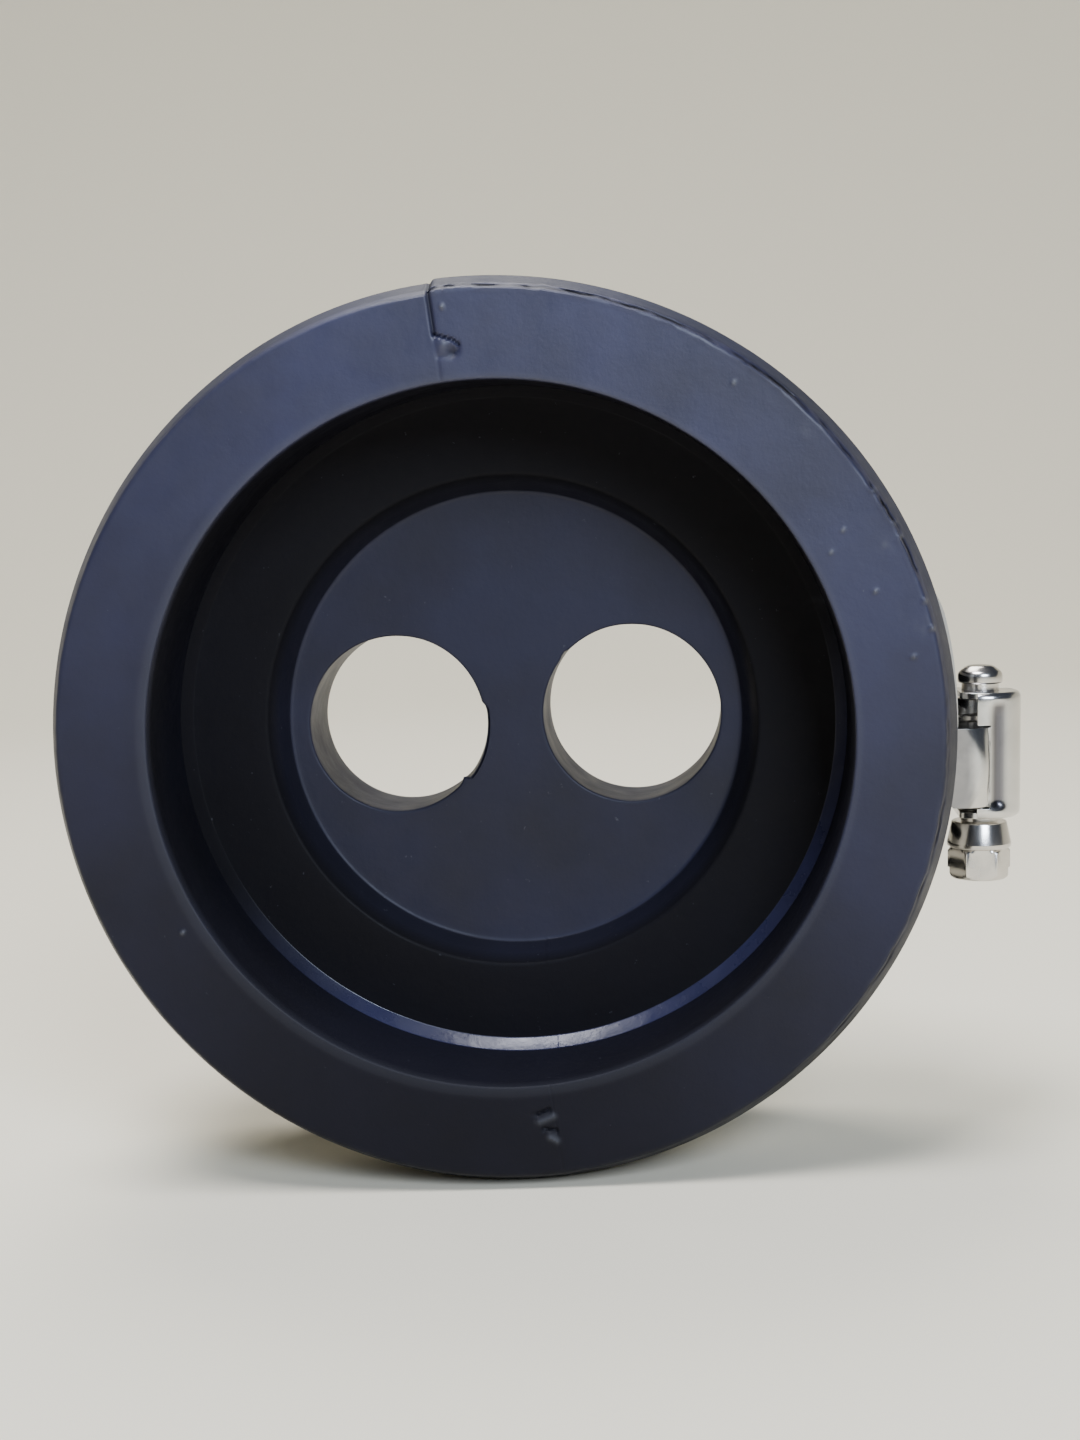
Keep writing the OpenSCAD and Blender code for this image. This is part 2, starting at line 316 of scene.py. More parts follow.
def line_distance(points):
    """Distance on the rim from a line of marks, in millimetres."""
    px, pz = radius / mm * np.cos(turn), radius / mm * np.sin(turn)
    corners = [(r * math.cos(math.radians(a)), r * math.sin(math.radians(a))) for r, a in points]
    best = np.full(radius.shape, 1e9)
    for (ax, az), (bx, bz) in zip(corners, corners[1:]):
        t = ((px - ax) * (bx - ax) + (pz - az) * (bz - az)) / ((bx - ax) ** 2 + (bz - az) ** 2)
        t = np.clip(t, 0, 1)
        best = np.minimum(best, np.hypot(px - ax - t * (bx - ax), pz - az - t * (bz - az)))
    return best


def bell(distance, width):
    """1 at no distance, falling off smoothly over about a width."""
    return np.exp(-(distance / width) ** 2)


def eased(value, start, end):
    """0 up to start and 1 from end on, with a smooth rise between."""
    share = np.clip((value - start) / (end - start), 0, 1)
    return share * share * (3 - 2 * share)


face_share = np.where(depth < 1.0 * mm, 1.0, 0.0) * (radius > socket_r - 0.1 * mm)
lift = np.zeros_like(radius)    # towards the front, in millimetres
swell = np.zeros_like(radius)   # outwards, in millimetres

# Moulded surfaces are never quite true
lift += (0.10 * wave(22, 3.1) + 0.03 * wave(90, 7.7)) * face_share
swell += 0.10 * wave(18, 11.3) + 0.02 * wave(120, 5.5)

# The soft rim sags out of round towards its lower left
sagging = (1 - eased(depth, 7 * mm, 13 * mm)) * (radius > socket_r + 0.5 * mm)
swell += 0.4 * (1 - np.cos(turn - math.pi / 4)) * sagging

# Ragged flash at the parting ring: a thin torn step between the rim and its outer slope
flash_strength = 0.25 + 0.75 * eased(place_deg, 5, 30) * (1 - eased(place_deg, 94.8, 95.8))
flash_strength = np.maximum(flash_strength, 0.7 * eased(place_deg, -60, -45) * (1 - eased(place_deg, 0, 12)))
flash_r = face_r / mm + 0.5 + 0.16 * ragged(2.0) + 0.2 * ragged(9.0, ((250, 1.0),))
flash_gate = np.clip(0.6 + 1.6 * ragged(14.0, ((160, 0.7), (600, 0.5))), 0, 1)
groove_line = bell(radius / mm - flash_r, 0.19)
flash_lip = bell(radius / mm - flash_r + 0.45, 0.28)
near_front = (depth < 2.5 * mm) & (radius > face_r - 2 * mm)
lift += near_front * flash_strength * flash_gate * (-0.75 * groove_line + 0.10 * flash_lip)
swell += near_front * 0.12 * flash_strength * ragged(21.0, ((900, 0.7), (2600, 0.3)))

# The mould's split: one side stands proud of the other, with a crease between them
split_top = np.radians(place_deg - split_deg) * radius / mm
split_low = np.radians(place_deg - (split_deg - 180)) * radius / mm
outer_half = eased(radius / mm, 55.5, 57)
crease_top = np.where(np.abs(place_deg - split_deg) < 20, bell(split_top, 0.32), 0)
crease_low = np.where(np.abs(place_deg - (split_deg - 180)) < 20, bell(split_low, 0.2), 0)
lift -= face_share * crease_top * (0.05 + 0.30 * outer_half)
lift -= face_share * crease_low * 0.05
swell -= crease_top * (radius > face_r) * (depth < 12 * mm) * 0.35
step_top = np.tanh((split_deg - place_deg) / 0.5) * np.exp(-np.abs(place_deg - split_deg) / 9)
swell += 0.28 * step_top * (radius > face_r - 0.1 * mm)
lift += 0.05 * step_top * face_share
swell += 0.06 * crease_low * (radius > face_r) - 0.05 * crease_low * (radius <= socket_r)

# Torn hook beside the split at the top, and two nicks beside it at the bottom
lift -= face_share * 0.55 * bell(line_distance(tear[:4]), 0.22)
lift -= face_share * 0.16 * bell(line_distance(tear[3:]), 0.35)
lift += face_share * 0.22 * bell(apart(*flap), 0.7)
lift -= face_share * 0.45 * bell(apart(53.9, 93.1), 0.75)
for nick, lump, height in nicks:
    lift -= face_share * 0.45 * bell(line_distance(nick), 0.30)
    lift += face_share * height * bell(line_distance(lump), 0.45)
for r_mm, deg, height in pips:
    lift += face_share * height * bell(apart(r_mm, deg), 0.33)
for r_mm, deg in curls:
    lift += near_front * 0.35 * bell(apart(r_mm, deg), 0.38)

highest_mark = 0.45 * mm        # in front of the rim
reach = radius + swell * mm
body_points = np.stack([reach * np.cos(turn), depth - lift * mm, reach * np.sin(turn)], axis=-1)
body_points[..., 1] = np.maximum(body_points[..., 1], -highest_mark)

body_mesh = bmesh.new()
rows = [[body_mesh.verts.new(p) for p in column] for column in body_points]
for here, beyond in zip(rows, rows[1:] + rows[:1]):
    for k in range(len(here) - 1):
        body_mesh.faces.new((here[k], here[k + 1], beyond[k + 1], beyond[k]))


def edge_loop(verts):
    """The closed run of edges through these vertices, made where they are missing."""
    edges = []
    for a, b in zip(verts, verts[1:] + verts[:1]):
        edges.append(body_mesh.edges.get((a, b)) or body_mesh.edges.new((a, b)))
    return edges


port_sides = 120
port_edge = 0.35 * mm
port_outline = spaced(rounded_outline([
    (port_r + 2 * port_edge, floor_depth, 0),
    (port_r, floor_depth, port_edge),
    (port_r, body_depth, port_edge),
    (port_r + 2 * port_edge, body_depth, 0),
]), lambda point: 1.3 * mm)


def port_wall(side):
    """Wall of one port, from the socket floor to the rear face; returns its two end loops.

    The left port's front edge is torn back over a stretch that ends in a barb, and the
    right one's has a nick.
    """
    rings = []
    for i in range(port_sides):
        a = 2 * math.pi * i / port_sides
        deg = math.degrees(a) if a < math.pi else math.degrees(a) - 360
        ring = []
        for k, p in enumerate(port_outline):
            uneven = noise.noise(Vector((math.cos(a) * 2.5, p.y * 200, math.sin(a) * 2.5 + side * 9)))
            r = p.x + 0.06 * mm * uneven
            near = 1 - min(1, max(0, (p.y - floor_depth) / (5 * mm)))
            inside = k not in (0, len(port_outline) - 1)
            if side < 0 and inside:
                torn = min(1, max(0, (deg + 41) / 2)) * min(1, max(0, (12 - deg) / 4))
                r += 0.5 * mm * torn * near
                r -= 0.5 * mm * near * math.exp(-((deg + 42.5) / 2.2) ** 2)
            if side > 0 and inside:
                r += 0.35 * mm * near * math.exp(-((deg - 136) / 3) ** 2)
            ring.append(body_mesh.verts.new((side * port_x + r * math.cos(a), p.y, r * math.sin(a))))
        rings.append(ring)
    for here, beyond in zip(rings, rings[1:] + rings[:1]):
        for k in range(len(here) - 1):
            body_mesh.faces.new((here[k], beyond[k], beyond[k + 1], here[k + 1]))
    return [ring[0] for ring in rings], [ring[-1] for ring in rings]


left_front, left_rear = port_wall(-1)
right_front, right_rear = port_wall(1)
for loops in [([row[0] for row in rows], left_front, right_front),
              ([row[-1] for row in rows], left_rear, right_rear)]:
    edges = [edge for loop in loops for edge in edge_loop(loop)]
    bmesh.ops.triangle_fill(body_mesh, use_beauty=True, use_dissolve=False, edges=edges)


def black_rubber():
    """Near black with a faint blue bloom, matte with a soft sheen, paler where it is rubbed, and mottled by
    the mould's release dust. Its bloom attribute also carries painted light: painted shade in the socket and
    the creases, a painted highlight on the socket's foot, and the rim painted lighter towards its top."""
    rubber, tree, shader = new_material("black_rubber")
    coords = add_node(tree, "ShaderNodeTexCoord").outputs["Object"]
    grain = add_node(tree, "ShaderNodeTexNoise", Scale=2600.0, Detail=3.0, Roughness=0.6)
    cloud = add_node(tree, "ShaderNodeTexNoise", Scale=34.0, Detail=5.0, Roughness=0.55)
    mottle = add_node(tree, "ShaderNodeTexNoise", Scale=150.0, Detail=4.0, Roughness=0.6)
    dust = add_node(tree, "ShaderNodeTexNoise", Scale=900.0, Detail=2.0, Roughness=0.7)
    wire(tree, *[(coords, texture.inputs["Vector"]) for texture in (grain, cloud, mottle, dust)])

    bloom = add_node(tree, "ShaderNodeMapRange", From_Min=0.3, From_Max=0.62, To_Min=0.45, To_Max=1.0)
    # This attribute mixes the rubber's bloom with painted light (painted shade in the socket and creases, a
    # painted highlight on the socket's foot, a rim painted lighter at its top) and tints the rubber blue
    haze_and_light = add_node(tree, "ShaderNodeAttribute", attribute_name="bloom")
    haze_and_light_factor = add_node(tree, "ShaderNodeMath", operation="MULTIPLY")
    tint = add_node(tree, "ShaderNodeMix", data_type="RGBA")
    tint.inputs["A"].default_value = (0.0068, 0.0064, 0.0068, 1)
    tint.inputs["B"].default_value = (0.0230, 0.0250, 0.0640, 1)
    speck = add_node(tree, "ShaderNodeMapRange", From_Min=0.72, From_Max=0.80, To_Min=0.0, To_Max=0.5)
    worn = add_node(tree, "ShaderNodeAttribute", attribute_name="rubbed")
    pale = add_node(tree, "ShaderNodeMath", operation="MAXIMUM")
    finish = add_node(tree, "ShaderNodeMix", data_type="RGBA")
    finish.inputs["B"].default_value = (0.075, 0.078, 0.092, 1)
    wire(tree, (cloud.outputs["Fac"], bloom.inputs["Value"]), (bloom.outputs["Result"], haze_and_light_factor.inputs[0]),
         (haze_and_light.outputs["Fac"], haze_and_light_factor.inputs[1]), (haze_and_light_factor.outputs["Value"], tint.inputs["Factor"]),
         (dust.outputs["Fac"], speck.inputs["Value"]), (speck.outputs["Result"], pale.inputs[0]),
         (worn.outputs["Fac"], pale.inputs[1]), (pale.outputs["Value"], finish.inputs["Factor"]),
         (tint.outputs["Result"], finish.inputs["A"]),
         (finish.outputs["Result"], shader.inputs["Base Color"]))

    # The same attribute sets the specular level, so the painted light also brightens or dulls the sheen
    sheen = add_node(tree, "ShaderNodeMapRange", From_Min=0.0, From_Max=1.0, To_Min=0.03, To_Max=0.5)
    gloss = add_node(tree, "ShaderNodeMapRange", From_Min=0.3, From_Max=0.7, To_Min=0.42, To_Max=0.58)
    polished = add_node(tree, "ShaderNodeAttribute", attribute_name="polish")
    smooth = add_node(tree, "ShaderNodeMath", operation="MULTIPLY_ADD")
    smooth.inputs[1].default_value = -0.22
    wire(tree, (haze_and_light.outputs["Fac"], sheen.inputs["Value"]),
         (sheen.outputs["Result"], shader.inputs["Specular IOR Level"]),
         (mottle.outputs["Fac"], gloss.inputs["Value"]), (polished.outputs["Fac"], smooth.inputs[0]),
         (gloss.outputs["Result"], smooth.inputs[2]), (smooth.outputs["Value"], shader.inputs["Roughness"]))

    grain_bump = add_node(tree, "ShaderNodeBump", Strength=0.25, Distance=0.00006)
    cloud_bump = add_node(tree, "ShaderNodeBump", Strength=0.5, Distance=0.00025)
    wire(tree, (mottle.outputs["Fac"], cloud_bump.inputs["Height"]),
         (grain.outputs["Fac"], grain_bump.inputs["Height"]),
         (cloud_bump.outputs["Normal"], grain_bump.inputs["Normal"]),
         (grain_bump.outputs["Normal"], shader.inputs["Normal"]))
    return rubber


def finished_mesh(shape, name, material=None, turn_out=True):
    """The mesh of a bmesh, with its faces turned outwards; the bmesh is freed."""
    if turn_out:
        bmesh.ops.recalc_face_normals(shape, faces=shape.faces)
    mesh = bpy.data.meshes.new(name)
    shape.to_mesh(mesh)
    shape.free()
    if material:
        mesh.materials.append(material)
    return mesh


rubber_mesh = finished_mesh(body_mesh, "seal_rubber", black_rubber())
shade(rubber_mesh, 28)

# Where the rubber is rubbed pale: the outer slope, the mouth's edge, the flash and the marks
rub = 0.38 * eased(radius / mm, face_r / mm + 0.7, face_r / mm + 1.2) * (depth < 5.5 * mm)
rub = rub * (0.5 + 0.5 * eased(-np.cos(turn - math.radians(8)), 0.1, 0.8)) * eased(np.sin(turn), -0.8, 0.2)
rub += near_front * 0.2 * flash_lip * flash_gate * flash_strength
rub += face_share * 0.15 * bell(radius / mm - socket_r / mm - 0.3, 0.5)
for r_mm, deg, size in scuffs:
    rub += 0.35 * bell(apart(r_mm, deg), size) * np.clip(wave(900, 4.0) + 0.3, 0, 1)
for _, lump, _ in nicks:
    rub += 0.45 * face_share * bell(line_distance(lump), 0.45)
for r_mm, deg, _ in pips:
    rub += 0.9 * bell(apart(r_mm, deg), 0.3) * face_share
for r_mm, deg in curls:
    rub += 0.7 * bell(apart(r_mm, deg), 0.34) * near_front
# Painted shade: the flash groove is kept dark, without the rubbed paleness
rub = rub * (1 - 0.9 * groove_line * flash_gate * flash_strength * near_front)
rub += face_share * 0.35 * bell(apart(*flap), 0.6)

# Bloom and painted light: the faint haze that rises on rubber, thick on the rim, mixed with painted shade
# that darkens the socket, the split's crease, the torn hook's hollow and the flash groove, a painted
# highlight on the socket's foot, and the rim painted lighter towards its top
in_socket = (depth >= 0.5 * mm) & (depth < floor_depth + 1 * mm) & (radius < socket_r + 0.5 * mm)
# Painted shade: the socket gets little bloom and so is painted darker, darkest on the ledge, less dark on the
# recessed disc and the socket floor
haze_and_light_share = np.where(in_socket, 0.12, 1.0)
ledge = in_socket & (depth > socket_depth - 0.1 * mm) & (radius > recess_r - 0.2 * mm)
haze_and_light_share = np.where(ledge, 0.05, haze_and_light_share)
foot = in_socket & (depth > socket_depth - foot_w - 0.1 * mm) & (radius > socket_r - foot_w - 0.05 * mm)
# Painted highlight: the foot bevel is painted bright and blue along the bottom of the socket, fading out
# towards its top
foot_lit = 0.05 + 0.95 * eased(-np.sin(turn - math.radians(22)), 0.05, 0.75)
haze_and_light_share = np.where(foot, foot_lit, haze_and_light_share)
haze_and_light_share = np.where(in_socket & (radius < recess_r - 0.6 * mm), 0.2, haze_and_light_share)
haze_and_light_share = np.where(in_socket & (depth > floor_depth - 0.2 * mm), 0.5, haze_and_light_share)
# Painted light: the rim is painted lighter towards its top and darker towards its bottom, as if lit from
# above
rim_painted_top_light = 0.55 + 0.45 * np.cos(turn - math.radians(77))
haze_and_light_share = np.where(in_socket, haze_and_light_share, haze_and_light_share * rim_painted_top_light)
# The outer slope and, darker, the flank behind it, both with the rim's painted top light
outside_haze_and_light = np.where(depth < rim_slope_depth, 0.55, 0.12) * rim_painted_top_light
haze_and_light_share = np.where(radius > face_r + 0.9 * mm, outside_haze_and_light, haze_and_light_share)
# Painted shade along the mould split's crease at the top of the rim
haze_and_light_share = haze_and_light_share * (1 - 0.6 * crease_top * outer_half)
# Painted shade in the hollow of the torn hook
haze_and_light_share = haze_and_light_share * (1 - 0.55 * face_share * bell(apart(53.8, 93.2), 0.8))
# Painted shade in the flash groove
haze_and_light_share = haze_and_light_share * (1 - np.clip(1.2 * groove_line * flash_gate * flash_strength, 0, 1) * near_front)
for label, grid, rest in [("rubbed", rub, 0.0), ("bloom", haze_and_light_share, 0.5), ("polish", foot * foot_lit, 0.0)]:
    attribute = rubber_mesh.attributes.new(label, "FLOAT", "POINT")
    shares = np.full(len(rubber_mesh.vertices), rest, np.float32)
    shares[:grid.size] = np.clip(grid, 0, 1).ravel()
    attribute.data.foreach_set("value", shares)

seal_rubber = link_object("seal_rubber", rubber_mesh)
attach(seal_rubber, "seal")
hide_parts("seal_body")

# ----------------------------------------------------------------------
# Clamp strap. Cold rolled stainless strip, punched with a row of slanted slots that the
# worm turns in, and rolled into a loop whose tail climbs over its fixed end.
joints = {j["name"]: j for j in frame["joints"]}
screw_at = Vector(joints["screw_turn"]["pos_m"])
along = -Vector(joints["screw_turn"]["axis"]).normalized()
across = Vector((0, 1, 0))
outward = along.cross(across)
clamp_middle = Vector((0, clamp_depth, 0))
screw_r = (screw_at - clamp_middle).dot(outward)
strap_t = 0.64 * mm
strap_w = 12.7 * mm
tail_round = 3.2 * mm
saddle_t = 0.5 * mm
seat_gap = 0.3 * mm             # between the groove and the clamp
stack_gap = 0.02 * mm           # between plates that are pressed together
slide_gap = 0.1 * mm            # between the tail and the fixed end under it
loop_in_r = body_r - groove_depth + seat_gap
anchor_in_r = loop_in_r + saddle_t + stack_gap
tail_in_r = anchor_in_r + strap_t + slide_gap
pitch_r = tail_in_r + strap_t / 2
worm_lead = 3.175 * mm
worm_r = 4.4 * mm
loop_start_deg, ramp_start_deg, ramp_end_deg, tail_end_deg = 30.3, 338.4, 346.5, 411.0


def clamp_place(points):
    """From the clamp's own axes (outward, along the worm, across the strap) to the frame."""
    turned = np.array([outward, along, across])
    return np.asarray(points) @ turned + np.array(clamp_middle)


def steel(name, colour, roughness, brush=(60, 60, 60), scratch=0.25, smudge=0.35):
    """Stainless steel with fine drawn lines, scratches and dull smudges, and a painted dark reflection where
    a mesh carries one.
    """
    material, tree, shader = new_material(name, Metallic=1.0)
    coords = add_node(tree, "ShaderNodeTexCoord").outputs["Object"]
    mapped = add_node(tree, "ShaderNodeMapping", Scale=brush)
    lines = add_node(tree, "ShaderNodeTexNoise", Scale=40.0, Detail=4.0, Roughness=0.65)
    patch = add_node(tree, "ShaderNodeTexNoise", Scale=260.0, Detail=4.0, Roughness=0.6)
    dull = add_node(tree, "ShaderNodeMapRange", From_Min=0.45, From_Max=0.7, To_Min=roughness,
                    To_Max=roughness + smudge * 0.5)
    fine = add_node(tree, "ShaderNodeMath", operation="MULTIPLY_ADD")
    fine.inputs[1].default_value = scratch * 0.3
    wire(tree, (coords, mapped.inputs["Vector"]), (mapped.outputs["Vector"], lines.inputs["Vector"]),
         (coords, patch.inputs["Vector"]), (patch.outputs["Fac"], dull.inputs["Value"]),
         (lines.outputs["Fac"], fine.inputs[0]), (dull.outputs["Result"], fine.inputs[2]),
         (fine.outputs["Value"], shader.inputs["Roughness"]))

    tone = add_node(tree, "ShaderNodeMix", data_type="RGBA")
    tone.inputs["A"].default_value = (*colour, 1)
    tone.inputs["B"].default_value = (*[c * 0.72 for c in colour], 1)
    # Painted dark reflection: where a mesh carries this attribute, the steel is tinted a dark purple-grey
    film = add_node(tree, "ShaderNodeAttribute", attribute_name="film")
    reflection_tinted = add_node(tree, "ShaderNodeMix", data_type="RGBA")
    reflection_tinted.inputs["B"].default_value = (0.115, 0.11, 0.125, 1)
    bump = add_node(tree, "ShaderNodeBump", Strength=scratch, Distance=0.00003)
    wire(tree, (patch.outputs["Fac"], tone.inputs["Factor"]), (film.outputs["Fac"], reflection_tinted.inputs["Factor"]),
         (tone.outputs["Result"], reflection_tinted.inputs["A"]),
         (reflection_tinted.outputs["Result"], shader.inputs["Base Color"]),
         (lines.outputs["Fac"], bump.inputs["Height"]), (bump.outputs["Normal"], shader.inputs["Normal"]))
    return material


strap_steel = steel("strap_steel", (0.60, 0.59, 0.57), 0.25, brush=(25, 160, 25), smudge=0.14)


def socket_id(tree, label):
    """The identifier of the tree's socket of this name."""
    return next(item.identifier for item in tree.interface.items_tree if item.name == label)


def node_tree(name, **inputs):
    """An empty Geometry Nodes tree with number inputs, and its input and output nodes."""
    tree = bpy.data.node_groups.new(name, "GeometryNodeTree")
    tree.interface.new_socket("Geometry", in_out="INPUT", socket_type="NodeSocketGeometry")
    tree.interface.new_socket("Geometry", in_out="OUTPUT", socket_type="NodeSocketGeometry")
    for label, kind in inputs.items():
        tree.interface.new_socket(label, in_out="INPUT", socket_type=kind)
    return tree, tree.nodes.new("NodeGroupInput"), tree.nodes.new("NodeGroupOutput")


def applied(made):
    """The object's mesh with its modifiers applied; the object and its modifiers go."""
    bpy.context.view_layer.update()
    result = bpy.data.meshes.new_from_object(made.evaluated_get(bpy.context.evaluated_depsgraph_get()))
    made.modifiers.clear()
    bpy.data.objects.remove(made)
    return result


def run_nodes(tree, start_mesh, values):
    """Runs a tree on a mesh and returns the result as a plain mesh."""
    carrier = link_object(tree.name, start_mesh)
    modifier = carrier.modifiers.new(tree.name, "NODES")
    modifier.node_group = tree
    for label, value in values.items():
        modifier[socket_id(tree, label)] = value
    return applied(carrier)


def tube(shape, rings):
    """Skins a run of rings of vertices with quads, and closes both ends."""
    for here, beyond in zip(rings, rings[1:]):
        for k in range(len(here)):
            j = (k + 1) % len(here)
            shape.faces.new((here[k], here[j], beyond[j], beyond[k]))
    shape.faces.new(list(reversed(rings[0])))
    shape.faces.new(rings[-1])


def strip_blank(start, end, half_w, thickness, end_round, step=0.8 * mm):
    """Flat strip from start to end with rounded corners at its far end, lying on z = 0."""
    blank = bmesh.new()
    steps = math.ceil((end - start) / step)
    stations = [start + (end - start) * i / steps for i in range(steps)]
    stations += [end - end_round * (1 - math.sin(math.pi / 2 * k / 6)) for k in range(7)]
    stations = sorted(set(round(s, 7) for s in stations))
    rings = []
    for s in stations:
        past = max(0.0, s - (end - end_round))
        half = half_w - end_round + math.sqrt(max(0.0, end_round ** 2 - past ** 2))
        rings.append([blank.verts.new((s, side * half, z)) for side, z in
                      [(-1, 0), (1, 0), (1, thickness), (-1, thickness)]])
    tube(blank, rings)
    return finished_mesh(blank, "strip")


# Punched slots: a slanted cutter on every station of a line, taken out of the strip
punch, feed, result = node_tree("punched_slots", Cutter="NodeSocketObject", Count="NodeSocketInt",
                                First="NodeSocketVector", Step="NodeSocketVector", Slant="NodeSocketFloat",
                                Finish="NodeSocketMaterial")
line = add_node(punch, "GeometryNodeMeshLine", mode="OFFSET")
cutter_info = add_node(punch, "GeometryNodeObjectInfo")
slant = add_node(punch, "ShaderNodeCombineXYZ")
placed = add_node(punch, "GeometryNodeInstanceOnPoints")
solid = add_node(punch, "GeometryNodeRealizeInstances")
cut = add_node(punch, "GeometryNodeMeshBoolean", operation="DIFFERENCE", solver="EXACT")
whole = add_node(punch, "GeometryNodeRealizeInstances")
coat = add_node(punch, "GeometryNodeSetMaterial")
wire(punch, (feed.outputs["Count"], line.inputs["Count"]),
     (feed.outputs["First"], line.inputs["Start Location"]), (feed.outputs["Step"], line.inputs["Offset"]),
     (feed.outputs["Cutter"], cutter_info.inputs["Object"]), (feed.outputs["Slant"], slant.inputs["Z"]),
     (line.outputs["Mesh"], placed.inputs["Points"]),
     (cutter_info.outputs["Geometry"], placed.inputs["Instance"]),
     (slant.outputs["Vector"], placed.inputs["Rotation"]),
     (placed.outputs["Instances"], solid.inputs["Geometry"]),
     (feed.outputs["Geometry"], cut.inputs["Mesh 1"]), (solid.outputs["Geometry"], cut.inputs["Mesh 2"]),
     (cut.outputs["Mesh"], whole.inputs["Geometry"]), (whole.outputs["Geometry"], coat.inputs["Geometry"]),
     (feed.outputs["Finish"], coat.inputs["Material"]), (coat.outputs["Geometry"], result.inputs["Geometry"]))

slot_count, slots_in = 27, 12
slot_half_len, slot_half_w = 4 * mm, 0.95 * mm
outline = []
for end in (1, -1):
    for k in range(7):
        a = math.pi * k / 6
        outline.append((end * slot_half_w * math.cos(a),
                        end * (slot_half_len - slot_half_w + slot_half_w * math.sin(a))))
cutter_shape = bmesh.new()
tube(cutter_shape, [[cutter_shape.verts.new((x, y, z)) for x, y in outline] for z in (-strap_t, 2 * strap_t)])
slot_cutter = link_object("slot_cutter", finished_mesh(cutter_shape, "slot_cutter"))

slot_slant = math.atan(worm_lead / (2 * math.pi * worm_r))
blank = strip_blank(math.radians(loop_start_deg) * pitch_r, math.radians(tail_end_deg) * pitch_r,
                    strap_w / 2, strap_t, tail_round)
punched = run_nodes(punch, blank, {
    "Cutter": slot_cutter, "Count": slot_count, "Step": (worm_lead, 0, 0), "Slant": slot_slant,
    "First": (2 * math.pi * pitch_r - slots_in * worm_lead, 0, 0), "Finish": strap_steel})
bpy.data.objects.remove(slot_cutter)


def rolled_r(turn_deg, lift):
    """Radius of the strap at a turn: it climbs from the loop to the tail over the ramp."""
    share = np.clip((turn_deg - ramp_start_deg) / (ramp_end_deg - ramp_start_deg), 0, 1)
    return loop_in_r + (tail_in_r - loop_in_r) * (1 - np.cos(np.pi * share)) / 2 + lift


def add_piece(name, mesh, body, replaced, smooth_deg=30, bevel=0.0):
    """Links a finished mesh, with a bevel modifier if asked, attaches it to its body and hides the part it
    replaces.
    """
    shade(mesh, smooth_deg)
    made = link_object(name, mesh)
    if bevel:
        edge = made.modifiers.new("edge", "BEVEL")
        edge.width = bevel
        edge.segments = 2
        edge.limit_method = "ANGLE"
        edge.angle_limit = math.radians(smooth_deg)
        edge.harden_normals = True
    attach(made, body)
    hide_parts(replaced)


flat = np.array([v.co for v in punched.vertices])
turn_deg = np.degrees(flat[:, 0] / pitch_r)
r = rolled_r(turn_deg, flat[:, 2])
rolled = clamp_place(np.stack([r * np.cos(np.radians(turn_deg)), r * np.sin(np.radians(turn_deg)),
                               flat[:, 1]], axis=-1))
punched.vertices.foreach_set("co", rolled.ravel())
add_piece("punched_strap", punched, "strap", "clamp_strap", smooth_deg=40)

# ----------------------------------------------------------------------
# Fixed end of the strap and the saddle plate under it. Flat stainless pieces, rolled to
# the loop's curve; the housing's feet are folded round the saddle.
plate_bevel = 0.08 * mm
clamp_half_w = 7.35 * mm        # across the saddle and the housing's legs


def rolled_plate(name, in_r, thickness, half_w, start_deg, end_deg, corner, replaced, material):
    """Curved plate with rounded corners at both ends, bevelled all round."""
    steps = 40
    plate = bmesh.new()
    rings = []
    length = math.radians(end_deg - start_deg) * in_r
    for i in range(steps + 1):
        ease = 0.5 - 0.5 * math.cos(math.pi * i / steps)
        a = math.radians(start_deg + (end_deg - start_deg) * ease)
        from_end = min(ease, 1 - ease) * length
        past = max(0.0, corner - from_end)
        half = half_w - corner + math.sqrt(max(0.0, corner ** 2 - past ** 2))
        rings.append([plate.verts.new(p) for p in clamp_place([
            (radius * math.cos(a), radius * math.sin(a), side * half)
            for side, radius in [(-1, in_r), (1, in_r), (1, in_r + thickness), (-1, in_r + thickness)]])])
    tube(plate, rings)
    add_piece(name, finished_mesh(plate, name, material), "clamp", replaced, bevel=plate_bevel)


anchor_span_deg = (0.53, 12.22)
rolled_plate("fixed_strap_end", anchor_in_r, strap_t, strap_w / 2, *anchor_span_deg, 1.2 * mm,
             "strap_anchor_end", strap_steel)
saddle_span_deg = (-0.10, 11.62)
saddle_steel = steel("saddle_steel", (0.55, 0.54, 0.52), 0.30)
rolled_plate("saddle_plate", loop_in_r, saddle_t, clamp_half_w, *saddle_span_deg, 1.0 * mm,
             "clamp_saddle", saddle_steel)

# ----------------------------------------------------------------------
# Screw housing. Bright stainless sheet pressed over the worm: an arch with a smooth
# crown, a flute down each side, a bowed shoulder, flat legs to the saddle, and ends
# rolled in to the end walls that carry the screw.
sheet_t = 0.8 * mm
arch_r = 5.9 * mm
tip_y, head_y = -4.4 * mm, 14.1 * mm
leg_from_y, leg_to_y = 0.6 * mm, 12.2 * mm
leg_foot = body_r - groove_depth + 0.15 * mm - screw_r
end_round = 0.9 * mm
flute_depth = 0.55 * mm
foot_corner = 1.3 * mm
shoulder_bow_mm = 1.55          # how much lower the shoulder is at its ends
wall_t = 0.9 * mm
wall_inset = 0.02 * mm          # from the sheet's ends to the end walls
housing_steel = steel("housing_steel", (0.74, 0.73, 0.71), 0.17, scratch=0.10, smudge=0.16)


